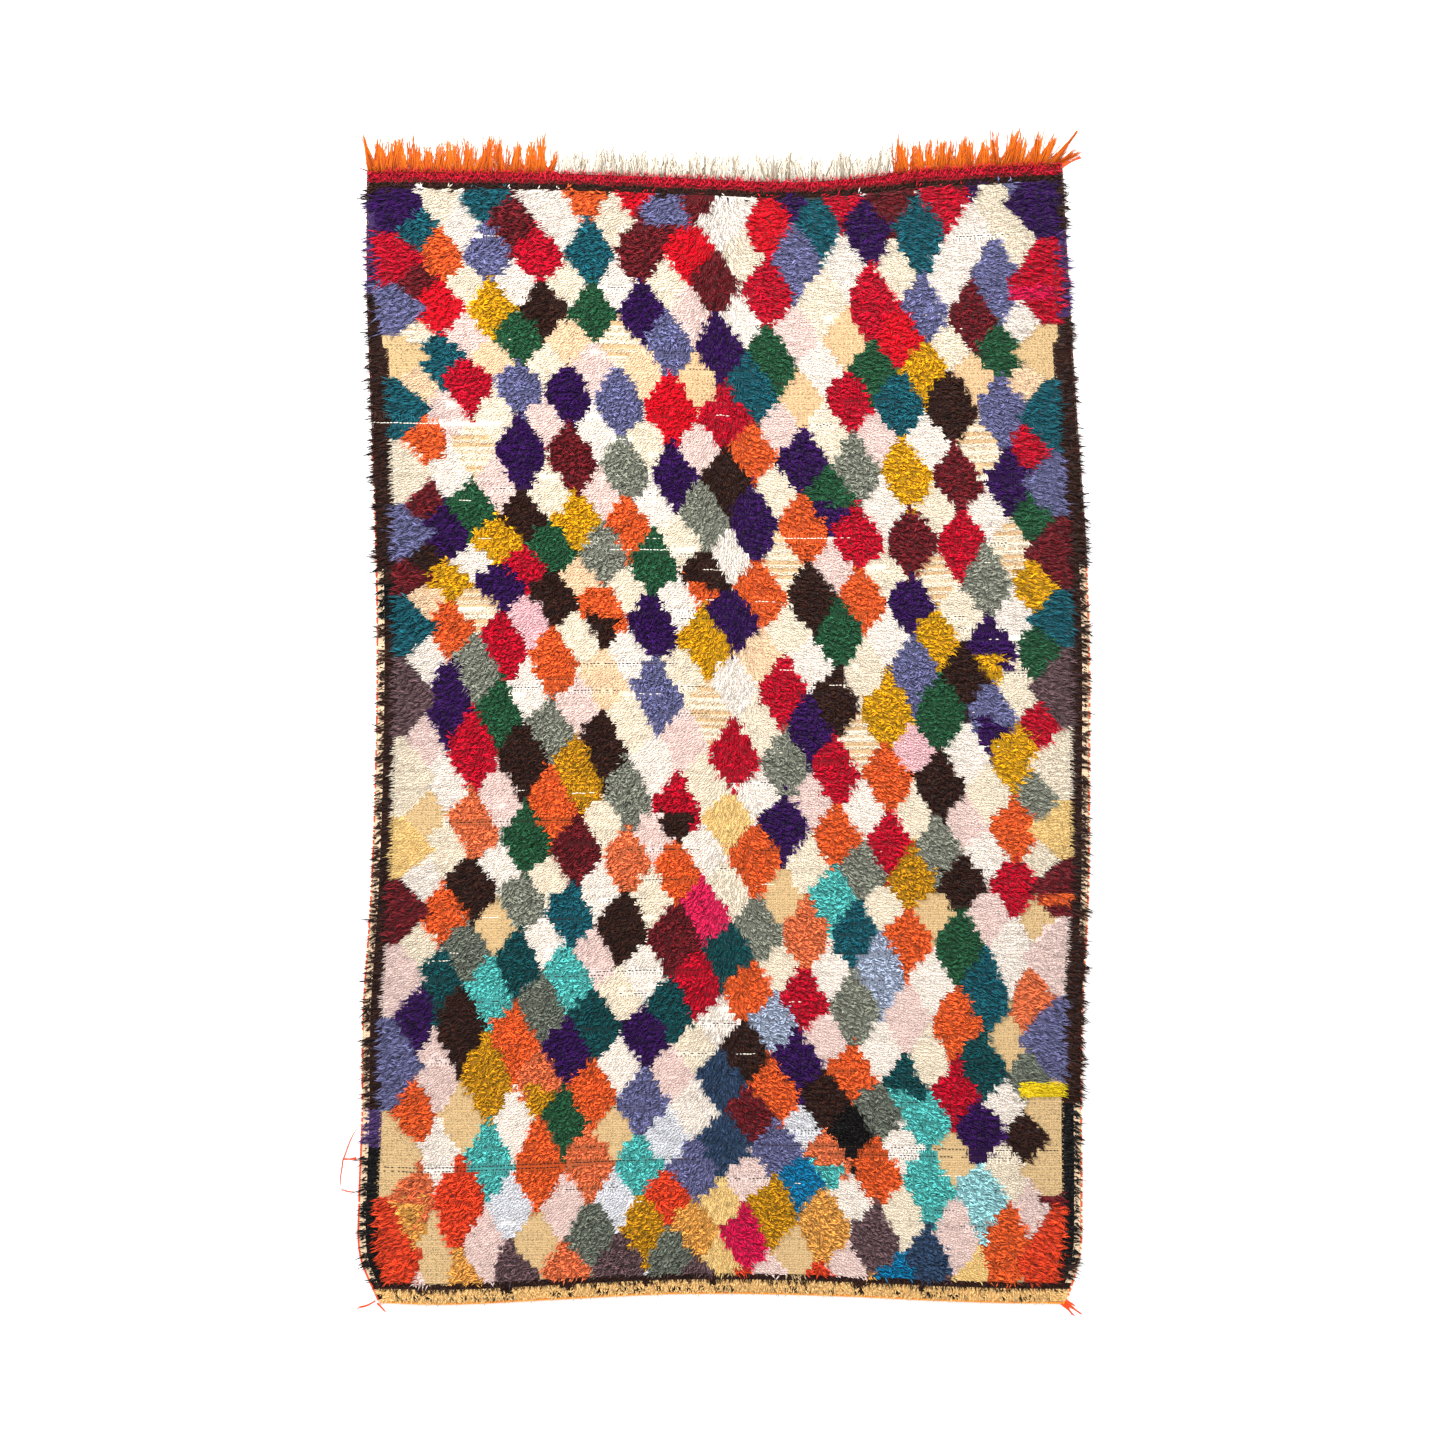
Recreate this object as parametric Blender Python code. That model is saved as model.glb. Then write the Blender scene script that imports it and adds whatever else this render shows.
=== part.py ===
"""A hand-knotted shag rug with a lozenge field, lying flat on the surface it rests on.

Units are metres and +Z is up. +Y runs along the warp, from the bound end towards the fringed end, and +X
across the cloth. The origin is the point of the flat underside on the parting of the pile, at mid length.
"""

import math
import random
from collections import namedtuple

import bmesh
import bpy
from mathutils import Matrix, Vector, noise

# Driving sizes of the woven cloth
CLOTH_WIDTH = 1.49
CLOTH_LENGTH = 2.36
PILE_TOP = 0.019
EDGE_PILE_TOP = 0.011
BAND_PILE_TOP = 0.012
LUMP_HEIGHT = 0.0036
LUMP_SIZE = 0.070
PARTING_DEPTH = 0.0035
PARTING_WIDTH = 0.030
SIDE_BAND = 0.034
END_BAND = 0.045

# The slab's cells, one lock of pile standing out of each cell along its two sides
CELLS_ACROSS = 22
CELLS_ALONG = 76

# The pile of the sides hangs over the binding, so its locks start above this ledge
LEDGE = 0.0058
# Along x or y between two pieces, so that 0.3 mm is left where the edge slants
GAP = 0.0006
SIDE_LOCK_LENGTH = (0.005, 0.016)
SIDE_LOCK_TIP = (0.28, 0.5)

# Overcast bindings along the sides and the bound end
SIDE_BINDING_WIDTH = 0.005
END_BINDING_WIDTH = 0.006

# Backing strip that holds the fringe strands of one yarn
STRIP_WIDTH = 0.010
STRIP_THICKNESS = 0.0032
STRAND_TIP_THICKNESS = 0.0016
SECTION_GAP = 0.002

# How far the two side edges stand out from the straight cloth, from the bound end (share 0) to the fringed
# end (share 1), and how far the two ends stand out, from the left side (share 0) to the right one (share 1)
SideStation = namedtuple("SideStation", "share left right")
SIDES = (
    SideStation(0.00, -0.024, -0.027),
    SideStation(0.04, 0.014, 0.001),
    SideStation(0.09, 0.016, 0.005),
    SideStation(0.16, 0.010, 0.004),
    SideStation(0.25, 0.008, 0.006),
    SideStation(0.36, -0.009, 0.019),
    SideStation(0.46, -0.018, 0.021),
    SideStation(0.57, -0.022, 0.021),
    SideStation(0.67, -0.019, 0.012),
    SideStation(0.78, -0.011, -0.007),
    SideStation(0.89, -0.002, -0.023),
    SideStation(1.00, -0.002, -0.038),
)
EndStation = namedtuple("EndStation", "share bound fringed")
ENDS = (
    EndStation(0.00, 0.040, -0.027),
    EndStation(0.10, 0.044, -0.029),
    EndStation(0.25, 0.034, -0.031),
    EndStation(0.40, 0.023, -0.038),
    EndStation(0.50, 0.021, -0.044),
    EndStation(0.60, 0.023, -0.050),
    EndStation(0.70, 0.028, -0.043),
    EndStation(0.80, 0.035, -0.027),
    EndStation(0.90, 0.040, -0.019),
    EndStation(1.00, 0.042, -0.011),
)

# Fringe of each yarn: where it starts and stops across the cloth, its strands, how many of them twist
# together in a lock, their length, and how far they lean sideways at the start and at the stop
Fringe = namedtuple("Fringe", "name start stop strands per_lock shortest longest lean_start lean_stop")
FRINGES = (
    Fringe("fringe_orange_left", 0.000, 0.270, 26, 2, 0.030, 0.054, -0.25, 0.10),
    Fringe("fringe_white", 0.270, 0.755, 48, 1, 0.026, 0.041, 0.05, 0.05),
    Fringe("fringe_orange_right", 0.755, 1.000, 24, 2, 0.030, 0.056, -0.12, 0.80),
)
LONG_END_STRANDS = {"fringe_orange_left": (0, 0.076), "fringe_orange_right": (22, 0.080)}
# A strand's width at shares of its length, as a share of its width at the root
STRAND_TAPER = ((0.30, 0.72), (0.70, 0.50), (1.00, 0.16))
LOCK_CLOSING = 0.45

# Loose ends of the binding yarn: a knot that lies on the floor, and the tails that leave it
Tail = namedtuple("Tail", "heading length")
Knot = namedtuple("Knot", "name x y radius tails")
KNOTS = (
    Knot("tails_left_side", -0.7835, -0.920, 0.0036, (Tail(195, 0.019), Tail(98, 0.070), Tail(258, 0.062))),
    Knot("tails_left_corner", -0.7400, -1.2360, 0.0042, (Tail(218, 0.026), Tail(300, 0.018))),
    Knot("tails_right_corner", 0.734, -1.237, 0.005, (Tail(-8, 0.019), Tail(-38, 0.034), Tail(-68, 0.024))),
)
KNOT_SIDES = 10
KNOT_HEIGHT = 0.0045
TAIL_TAPER = ((0.5, 0.75), (1.0, 0.30))

# Colour of each piece's yarn, linear, and its roughness
Yarn = namedtuple("Yarn", "red green blue roughness")
YARNS = {
    "rug_body": Yarn(0.86, 0.80, 0.68, 0.95),
    "fringe_orange_left": Yarn(0.87, 0.22, 0.02, 0.90),
    "fringe_white": Yarn(0.83, 0.79, 0.70, 0.90),
    "fringe_orange_right": Yarn(0.87, 0.22, 0.02, 0.90),
    "binding_left": Yarn(0.85, 0.52, 0.33, 0.90),
    "binding_right": Yarn(0.85, 0.52, 0.33, 0.90),
    "binding_bound_end": Yarn(0.80, 0.35, 0.09, 0.90),
    "tails_left_side": Yarn(0.84, 0.11, 0.03, 0.90),
    "tails_left_corner": Yarn(0.84, 0.14, 0.03, 0.90),
    "tails_right_corner": Yarn(0.84, 0.11, 0.03, 0.90),
}

SEED = 11


def clear_scene():
    for obj in list(bpy.data.objects):
        bpy.data.objects.remove(obj, do_unlink=True)


def wool(name):
    """The plain matt material of one piece's yarn."""
    yarn = YARNS[name]
    material = bpy.data.materials.new(name)
    material.use_nodes = True
    shader = material.node_tree.nodes["Principled BSDF"]
    shader.inputs["Base Color"].default_value = (yarn.red, yarn.green, yarn.blue, 1.0)
    shader.inputs["Roughness"].default_value = yarn.roughness
    shader.inputs["Metallic"].default_value = 0.0
    return material


def smooth_reading(stations, column, share):
    """A column of a table of stations, read at any share by a cubic through its rows."""
    share = min(max(share, 0.0), 1.0)
    rows = [(s.share, getattr(s, column)) for s in stations]
    last = len(rows) - 1
    i = next((k for k in range(last) if share <= rows[k + 1][0]), last - 1)
    (x0, y0), (x1, y1) = rows[i], rows[i + 1]

    def slope(k):
        low, high = max(k - 1, 0), min(k + 1, last)
        return (rows[high][1] - rows[low][1]) / (rows[high][0] - rows[low][0])

    width = x1 - x0
    t = (share - x0) / width
    return (
        (2 * t**3 - 3 * t**2 + 1) * y0
        + (t**3 - 2 * t**2 + t) * width * slope(i)
        + (3 * t**2 - 2 * t**3) * y1
        + (t**3 - t**2) * width * slope(i + 1)
    )


def cloth_point(across, along):
    """Where a share of the width and of the length of the straight cloth lies in the real one."""
    left = -CLOTH_WIDTH / 2 - smooth_reading(SIDES, "left", along)
    right = CLOTH_WIDTH / 2 + smooth_reading(SIDES, "right", along)
    bound = -CLOTH_LENGTH / 2 - smooth_reading(ENDS, "bound", across)
    fringed = CLOTH_LENGTH / 2 + smooth_reading(ENDS, "fringed", across)
    return Vector((left + (right - left) * across, bound + (fringed - bound) * along, 0.0))


def slab_edge_point(across, along):
    """A point of the slab's own straight-sided edge: its corners lie on the cloth's edge."""
    column = min(int(across * CELLS_ACROSS), CELLS_ACROSS - 1)
    row = min(int(along * CELLS_ALONG), CELLS_ALONG - 1)
    s, t = across * CELLS_ACROSS - column, along * CELLS_ALONG - row
    corner = [
        [cloth_point((column + i) / CELLS_ACROSS, (row + j) / CELLS_ALONG) for j in (0, 1)] for i in (0, 1)
    ]
    near, far = corner[0][0].lerp(corner[0][1], t), corner[1][0].lerp(corner[1][1], t)
    return near.lerp(far, s)


def soft_step(distance, width):
    """0 at an edge and 1 from this width inwards."""
    t = min(max(distance / width, 0.0), 1.0)
    return t * t * (3 - 2 * t)


def pile_height(across, along, point):
    """Height of the pile's top: low in the bands along the edges, lumpy, and parted down the middle."""
    from_side = min(across, 1 - across) * CLOTH_WIDTH
    from_end = min(along, 1 - along) * CLOTH_LENGTH
    edge = EDGE_PILE_TOP + (PILE_TOP - EDGE_PILE_TOP) * soft_step(from_side, SIDE_BAND)
    end = BAND_PILE_TOP + (PILE_TOP - BAND_PILE_TOP) * soft_step(from_end, END_BAND)
    parting = PARTING_DEPTH * math.exp(-(((across - 0.5) * CLOTH_WIDTH / PARTING_WIDTH) ** 2))
    inside = soft_step(min(from_side, from_end), SIDE_BAND)
    lump = LUMP_HEIGHT * noise.noise(point / LUMP_SIZE) * inside
    return min(edge, end) - parting * inside + lump


def add_object(name, shaped, collection):
    """A new object from a bmesh, with its faces pointing out."""
    bmesh.ops.recalc_face_normals(shaped, faces=shaped.faces)
    mesh = bpy.data.meshes.new(name)
    shaped.to_mesh(mesh)
    shaped.free()
    mesh.materials.append(wool(name))
    obj = bpy.data.objects.new(name, mesh)
    collection.objects.link(obj)
    return obj


def lowered_rim(shaped, edges, height):
    """Extrudes an open rim straight down to a height, and returns its new edges and wall faces."""
    made = bmesh.ops.extrude_edge_only(shaped, edges=edges)["geom"]
    for vert in (g for g in made if isinstance(g, bmesh.types.BMVert)):
        vert.co.z = height
    walls = [g for g in made if isinstance(g, bmesh.types.BMFace)]
    lowered = [g for g in made if isinstance(g, bmesh.types.BMEdge)]
    rim = [e for e in lowered if all(abs(v.co.z - height) < 1e-7 for v in e.verts)]
    return rim, walls


def pile_slab(collection, chance):
    """The knotted cloth as one lumpy slab: a shaped grid, its rim brought down to the floor, and a lock of
    pile pulled out of each cell of its two long sides."""
    shaped = bmesh.new()
    bmesh.ops.create_grid(shaped, x_segments=CELLS_ACROSS, y_segments=CELLS_ALONG, size=0.5)
    for vert in shaped.verts:
        across, along = vert.co.x + 0.5, vert.co.y + 0.5
        place = cloth_point(across, along)
        vert.co = (place.x, place.y, pile_height(across, along, place))
    rim = [e for e in shaped.edges if e.is_boundary]
    rim, pile_walls = lowered_rim(shaped, rim, LEDGE)
    rim, _ = lowered_rim(shaped, rim, 0.0)
    bmesh.ops.holes_fill(shaped, edges=rim, sides=0)
    bmesh.ops.recalc_face_normals(shaped, faces=shaped.faces)
    side_walls = [f for f in pile_walls if abs(f.normal.x) > 0.7]
    locks = bmesh.ops.extrude_discrete_faces(shaped, faces=side_walls)["faces"]
    middles = {face: face.calc_center_median() for face in locks}
    # sorted, so that each run gives each lock the same length
    for face in sorted(locks, key=lambda face: (middles[face].x > 0, middles[face].y)):
        outward = Vector((math.copysign(1.0, face.normal.x), chance.uniform(-0.35, 0.35), 0.0))
        tip = face.calc_center_median() + outward * chance.uniform(*SIDE_LOCK_LENGTH)
        share = chance.uniform(*SIDE_LOCK_TIP)
        tip.z = LEDGE + 0.001
        for vert in face.verts:
            raised = vert.co.z > LEDGE + 1e-6
            vert.co = tip + (vert.co - face.calc_center_median()) * share
            vert.co.z = tip.z + (0.0018 if raised else 0.0)
    return add_object("rug_body", shaped, collection)


def rooted_strip(fringe, shaped):
    """A narrow strip along the slab's fringed edge, a cell for each strand. Returns its outer faces."""
    bmesh.ops.create_grid(shaped, x_segments=fringe.strands, y_segments=1, size=0.5)
    inset = SECTION_GAP / 2 / CLOTH_WIDTH
    for vert in shaped.verts:
        share = fringe.start + inset + (fringe.stop - fringe.start - 2 * inset) * (vert.co.x + 0.5)
        edge = slab_edge_point(share, 1.0)
        vert.co = edge + Vector((0.0, GAP + STRIP_WIDTH * (vert.co.y + 0.5), STRIP_THICKNESS))
    rim = [e for e in shaped.edges if e.is_boundary]
    rim, walls = lowered_rim(shaped, rim, 0.0)
    bmesh.ops.holes_fill(shaped, edges=rim, sides=0)
    bmesh.ops.recalc_face_normals(shaped, faces=shaped.faces)
    return sorted((f for f in walls if f.normal.y > 0.7), key=lambda f: f.calc_center_median().x)


def pull_strand(shaped, face, heading, length, taper, tip_thickness, drift=0.0):
    """Extrudes one face into a strand that lies on the floor: it tapers, and drifts sideways as it goes."""
    root = face.calc_center_median()
    root_thickness = max(v.co.z for v in face.verts)
    side = Vector((-heading.y, heading.x, 0.0))
    half_width = max(abs((v.co - root).dot(side)) for v in face.verts)
    for reach, width in taper:
        face = bmesh.ops.extrude_discrete_faces(shaped, faces=[face])["faces"][0]
        centre = root + heading * (length * reach) + side * (drift * reach**1.5)
        thickness = root_thickness + (tip_thickness - root_thickness) * reach
        for vert in face.verts:
            outer = math.copysign(half_width * width, (vert.co - face.calc_center_median()).dot(side))
            raised = vert.co.z > 1e-6
            vert.co = Vector((centre.x, centre.y, thickness if raised else 0.0)) + side * outer
    return face


def fringe_node(fringe, collection, chance):
    """One yarn's fringe: strands apart from each other but for their roots in the strip."""
    shaped = bmesh.new()
    faces = rooted_strip(fringe, shaped)
    pitch = (fringe.stop - fringe.start) * CLOTH_WIDTH / fringe.strands
    long_strand, long_length = LONG_END_STRANDS.get(fringe.name, (None, 0.0))
    for i, face in enumerate(faces):
        share = i / (fringe.strands - 1)
        lean = fringe.lean_start + (fringe.lean_stop - fringe.lean_start) * share**3
        in_lock = (i % fringe.per_lock) - (fringe.per_lock - 1) / 2
        closing = in_lock * LOCK_CLOSING * pitch
        length = chance.uniform(fringe.shortest, fringe.longest)
        length = long_length if i == long_strand else length
        heading = Vector((math.sin(lean), math.cos(lean), 0.0))
        pull_strand(shaped, face, heading, length, STRAND_TAPER, STRAND_TIP_THICKNESS, closing)
    return add_object(fringe.name, shaped, collection)


def binding(name, points, width, collection):
    """An overcast cord that lies on the floor along an edge of the cloth."""
    curve = bpy.data.curves.new(name, "CURVE")
    curve.dimensions = "3D"
    curve.bevel_depth = width / 2
    curve.bevel_resolution = 1
    curve.use_fill_caps = True
    spline = curve.splines.new("POLY")
    spline.points.add(len(points) - 1)
    for knot, place in zip(spline.points, points):
        knot.co = (*place, 1.0)
    curve.materials.append(wool(name))
    obj = bpy.data.objects.new(name, curve)
    collection.objects.link(obj)
    return obj


def edge_line(side, width):
    """The middle of a binding along one edge of the slab, resting on the floor."""
    off = width / 2 + GAP
    if side == "bound":
        shares = [i / CELLS_ACROSS for i in range(CELLS_ACROSS + 1)]
        return [slab_edge_point(s, 0.0) + Vector((0.0, -off, width / 2)) for s in shares]
    across, outward = (0.0, -off) if side == "left" else (1.0, off)
    shares = [i / CELLS_ALONG for i in range(CELLS_ALONG + 1)]
    return [slab_edge_point(across, s) + Vector((outward, 0.0, width / 2)) for s in shares]


def knotted_tails(knot, collection):
    """A small knot with the tails of its yarn, each pulled out of the side face that it leaves by."""
    shaped = bmesh.new()
    bmesh.ops.create_cone(
        shaped,
        cap_ends=True,
        segments=KNOT_SIDES,
        radius1=knot.radius,
        radius2=knot.radius * 0.8,
        depth=KNOT_HEIGHT,
        matrix=Matrix.Translation((knot.x, knot.y, KNOT_HEIGHT / 2)),
    )
    sides = [f for f in shaped.faces if abs(f.normal.z) < 0.7]
    for tail in knot.tails:
        heading = Vector((math.cos(math.radians(tail.heading)), math.sin(math.radians(tail.heading)), 0.0))
        face = max(sides, key=lambda f: f.normal.dot(heading))
        sides.remove(face)
        pull_strand(shaped, face, heading, tail.length, TAIL_TAPER, STRAND_TIP_THICKNESS)
    return add_object(knot.name, shaped, collection)


def main():
    clear_scene()
    chance = random.Random(SEED)
    collection = bpy.data.collections.new("boucherouite_rug")
    bpy.context.scene.collection.children.link(collection)
    pile_slab(collection, chance)
    for fringe in FRINGES:
        fringe_node(fringe, collection, chance)
    for side in ("left", "right"):
        binding("binding_" + side, edge_line(side, SIDE_BINDING_WIDTH), SIDE_BINDING_WIDTH, collection)
    binding("binding_bound_end", edge_line("bound", END_BINDING_WIDTH), END_BINDING_WIDTH, collection)
    for knot in KNOTS:
        knotted_tails(knot, collection)


main()
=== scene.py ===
import math
import random
from collections import namedtuple

import bpy
import numpy as np
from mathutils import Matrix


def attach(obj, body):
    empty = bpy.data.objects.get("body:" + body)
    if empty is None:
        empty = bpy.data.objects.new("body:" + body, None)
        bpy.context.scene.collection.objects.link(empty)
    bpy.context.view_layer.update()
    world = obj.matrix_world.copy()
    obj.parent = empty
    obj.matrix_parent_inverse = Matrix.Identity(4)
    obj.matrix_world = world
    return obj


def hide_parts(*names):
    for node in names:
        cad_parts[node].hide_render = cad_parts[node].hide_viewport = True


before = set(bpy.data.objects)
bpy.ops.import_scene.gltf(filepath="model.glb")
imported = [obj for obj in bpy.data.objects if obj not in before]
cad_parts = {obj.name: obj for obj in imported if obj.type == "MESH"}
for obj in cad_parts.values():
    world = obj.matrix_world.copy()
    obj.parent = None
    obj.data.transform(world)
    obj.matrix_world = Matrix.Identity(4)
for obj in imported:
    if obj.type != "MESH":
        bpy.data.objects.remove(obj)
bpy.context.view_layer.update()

# The studio: a plain pale floor, one broad soft light over the fringed end, an even white surround, and a
# camera straight above the rug, far enough back to see it without slant.
CAMERA_HEIGHT = 6.0
PICTURE_SIDE = 3.024
SENSOR = 36.0
bpy.ops.object.camera_add(location=(-0.0063, -0.0021, CAMERA_HEIGHT), rotation=(0.0, 0.0, 0.0))
camera = bpy.context.object
camera.data.sensor_width = SENSOR
camera.data.lens = SENSOR * CAMERA_HEIGHT / PICTURE_SIDE
bpy.context.scene.camera = camera
bpy.context.scene.view_settings.view_transform = "Standard"


def set_values(node, values):
    """Sets a node's inputs by their names."""
    for name, value in values.items():
        node.inputs[name].default_value = value


def matt_finish(name, roughness, specular):
    """A matt material and its shader."""
    material = bpy.data.materials.new(name)
    material.use_nodes = True
    shader = material.node_tree.nodes["Principled BSDF"]
    set_values(shader, {"Roughness": roughness, "Specular IOR Level": specular})
    return material, shader


bpy.ops.mesh.primitive_plane_add(size=30.0, location=(0.0, 0.0, -0.0004))
floor = bpy.context.object
floor.name = "floor"
paint, shader = matt_finish("floor_paint", 0.9, 0.2)
set_values(shader, {"Base Color": (0.93, 0.93, 0.93, 1.0)})
floor.data.materials.append(paint)

lamp_turn = (math.radians(-38), math.radians(-14), 0.0)
bpy.ops.object.light_add(type="AREA", location=(-1.2, 3.4, 4.2), rotation=lamp_turn)
bpy.context.object.data.size = 1.8
bpy.context.object.data.energy = 480.0
surround = bpy.data.worlds.new("white_surround")
surround.use_nodes = True
bpy.context.scene.world = surround
set_values(surround.node_tree.nodes["Background"], {"Color": (1.0, 1.0, 1.0, 1.0), "Strength": 1.25})


# The ground: cotton warp and weft, woven as one sheet, with the knots of the pile tied round its warps.
# Their backs show the lozenges underneath. Its four edges wave, as hand weaving does.
CLOTH_WIDTH = 1.49
CLOTH_LENGTH = 2.36
GROUND_THICKNESS = 0.005
KNOT_PITCH = 0.00465
KNOT_ROW_PITCH = 0.0080
GROUND_CELLS_ACROSS = 116
GROUND_CELLS_ALONG = 184
# share of the length from the bound end, then how far the left and the right edge stand out there
SIDE_WAVES = (
    (0.00, -0.024, -0.027), (0.04, 0.014, 0.001), (0.09, 0.016, 0.005), (0.16, 0.010, 0.004),
    (0.25, 0.008, 0.006), (0.36, -0.009, 0.019), (0.46, -0.018, 0.021), (0.57, -0.022, 0.021),
    (0.67, -0.019, 0.012), (0.78, -0.011, -0.007), (0.89, -0.002, -0.023), (1.00, -0.002, -0.038),
)
# share of the width from the left side, then how far the bound and the fringed end stand out there
END_WAVES = (
    (0.00, 0.040, -0.027), (0.10, 0.044, -0.029), (0.25, 0.034, -0.031), (0.40, 0.023, -0.038),
    (0.50, 0.021, -0.044), (0.60, 0.023, -0.050), (0.70, 0.028, -0.043), (0.80, 0.035, -0.027),
    (0.90, 0.040, -0.019), (1.00, 0.042, -0.011),
)

Yarn = namedtuple("Yarn", "name colour pile")
# each yarn's colour and the length of its locks, as a share of the longest
YARNS = (
    Yarn("white", "#F6EBE0", 0.66),
    Yarn("cream", "#F0E2CC", 0.62),
    Yarn("ecru", "#DCB88C", 0.34),
    Yarn("khaki", "#D0B080", 0.28),
    Yarn("blush", "#EAD0C8", 0.60),
    Yarn("pink", "#F0C4C8", 0.72),
    Yarn("peach", "#F0D0AC", 0.58),
    Yarn("crimson", "#D60A2E", 1.00),
    Yarn("red", "#F40C26", 0.95),
    Yarn("cherry", "#B8142A", 0.90),
    Yarn("maroon", "#7A1E26", 1.00),
    Yarn("brown", "#3A1E16", 0.95),
    Yarn("black", "#100C0C", 0.95),
    Yarn("indigo", "#3A105A", 1.00),
    Yarn("purple", "#583E78", 0.90),
    Yarn("periwinkle", "#7A7AA8", 0.95),
    Yarn("teal", "#1A6674", 1.00),
    Yarn("deep_teal", "#125458", 0.95),
    Yarn("green", "#2A6240", 0.92),
    Yarn("mustard", "#F2B414", 0.95),
    Yarn("gold", "#DEA018", 0.92),
    Yarn("ochre", "#F0CC86", 0.60),
    Yarn("amber", "#F6CC88", 0.60),
    Yarn("yellow", "#FFE018", 0.85),
    Yarn("orange", "#FF6C2E", 0.92),
    Yarn("light_orange", "#FFB858", 0.88),
    Yarn("coral", "#FF8450", 0.90),
    Yarn("orange_red", "#FF5028", 0.98),
    Yarn("sage", "#9A9C8C", 0.92),
    Yarn("grey_green", "#7E8476", 0.94),
    Yarn("plum", "#765A5E", 1.00),
    Yarn("turquoise", "#62D2CC", 0.90),
    Yarn("pale_turquoise", "#B4F0F4", 0.88),
    Yarn("navy", "#385070", 0.95),
    Yarn("blue", "#0C84B6", 0.92),
    Yarn("light_blue", "#BCC8E0", 0.90),
    Yarn("pale_blue", "#E4E4E8", 0.78),
    Yarn("hot_pink", "#FF2868", 0.92),
    Yarn("magenta", "#F01458", 0.95),
)
YARN_NUMBER = {yarn.name: i for i, yarn in enumerate(YARNS)}
YARN_NUMBER["striped"] = len(YARNS)

# The lozenges: half their width, and the row of them reached at a share of the length from the fringed end
LOZENGE_HALF_WIDTH = 0.0538
LOZENGE_ROWS = ((0.004, 0.0), (0.742, 24.4), (0.990, 33.7))
LOZENGE_COLUMNS = 14
# how unevenly bright yarn is knotted past a lozenge's sloping sides, in rows of lozenges
JAG = 0.24
# how far the columns and the rows of lozenges wander
COLUMN_WANDER = 0.16
ROW_WANDER = 0.15
Band = namedtuple("Band", "last_row bright pale")
# the yarns that the weaver had at hand in each height of the field, named more often where used more
BANDS = (
    Band(3, "indigo teal teal crimson red periwinkle periwinkle maroon orange", "white white cream"),
    Band(
        7, "red red indigo teal green brown periwinkle mustard crimson",
        "white cream striped peach blush ecru",
    ),
    Band(
        12, "maroon indigo indigo green brown sage orange mustard crimson",
        "white cream cream blush striped",
    ),
    Band(16, "mustard crimson indigo indigo brown periwinkle green orange", "pink white cream striped peach"),
    Band(20, "indigo green brown orange gold crimson sage orange", "blush white white cream cream"),
    Band(
        24, "indigo orange brown maroon gold coral sage crimson green teal",
        "white cream blush white khaki",
    ),
    Band(27, "orange deep_teal indigo turquoise brown grey_green crimson", "white white blush cream"),
    Band(30, "orange periwinkle orange gold coral turquoise teal", "cream white pale_blue blush white khaki"),
    Band(40, "coral grey_green plum light_orange gold orange_red", "blush pale_blue khaki ochre khaki"),
)
# the yarns of the lozenges on the parting, down the middle
AXIS_YARNS = (
    "white maroon indigo crimson brown white indigo white crimson ochre cream deep_teal white "
    "navy navy ochre ochre"
).split()
# lozenges of yarns of which there was little, by column from the middle and row from the fringed end
SINGLE_LOZENGES = {
    (-1, 22): "hot_pink", (1, 32): "magenta", (5, 28): "black", (4, 21): "turquoise", (-9, 26): "turquoise",
    (-3, 30): "turquoise", (8, 27): "turquoise", (8, 29): "turquoise", (10, 29): "pale_turquoise",
    (3, 30): "blue", (8, 31): "navy", (7, 32): "blue", (-6, 29): "green", (1, 28): "maroon",
    (2, 25): "light_blue", (6, 23): "light_blue", (-9, 30): "turquoise",
}
# the half lozenges down each side, from the fringed end, with their height
LEFT_BLOCKS = (
    ("indigo", 0.130), ("crimson", 0.105), ("periwinkle", 0.105), ("khaki", 0.095), ("teal", 0.126),
    ("cream", 0.137), ("periwinkle", 0.115), ("maroon", 0.074), ("teal", 0.130), ("plum", 0.164),
    ("cream", 0.168), ("ochre", 0.130), ("maroon", 0.132), ("blush", 0.153), ("periwinkle", 0.197),
    ("khaki", 0.185), ("orange_red", 0.230),
)
RIGHT_BLOCKS = (
    ("indigo", 0.155), ("crimson", 0.178), ("khaki", 0.115), ("teal", 0.147), ("periwinkle", 0.137),
    ("maroon", 0.147), ("teal", 0.126), ("plum", 0.164), ("cream", 0.151), ("ochre", 0.122),
    ("maroon", 0.120), ("blush", 0.164), ("periwinkle", 0.178), ("khaki", 0.118), ("khaki", 0.138),
    ("orange_red", 0.230),
)
# how far a side block reaches in from the edge, at its two ends and at its middle
BLOCK_NARROW = 0.060
BLOCK_WIDE = 0.128
# bars of another yarn in the side blocks: side, distance from the fringed end, height, least and most
# distance from the side, yarn
BARS = (
    (1, 0.252, 0.028, 0.03, 0.13, "magenta"), (1, 1.905, 0.032, 0.03, 0.13, "yellow"),
    (1, 1.515, 0.020, 0.03, 0.10, "orange"), (1, 2.140, 0.021, 0.03, 0.09, "maroon"),
)
# the dark pile strips along the two sides, from the fringed end, with their height
LEFT_STRIP = (
    ("brown", 0.067), ("purple", 0.189), ("brown", 0.609), ("black", 0.074), ("brown", 1.018),
    ("purple", 0.084), ("black", 0.400),
)
RIGHT_STRIP = (("brown", 0.143), ("purple", 0.179), ("brown", 1.627), ("black", 0.336), ("brown", 0.200))
STRIP_WIDTH = 0.036
# near the fringed end the strips are narrower: distance from that end, share of the width
STRIP_TAPER = ((0.00, 0.30, 0.40), (0.45, 0.50, 1.00))
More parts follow.
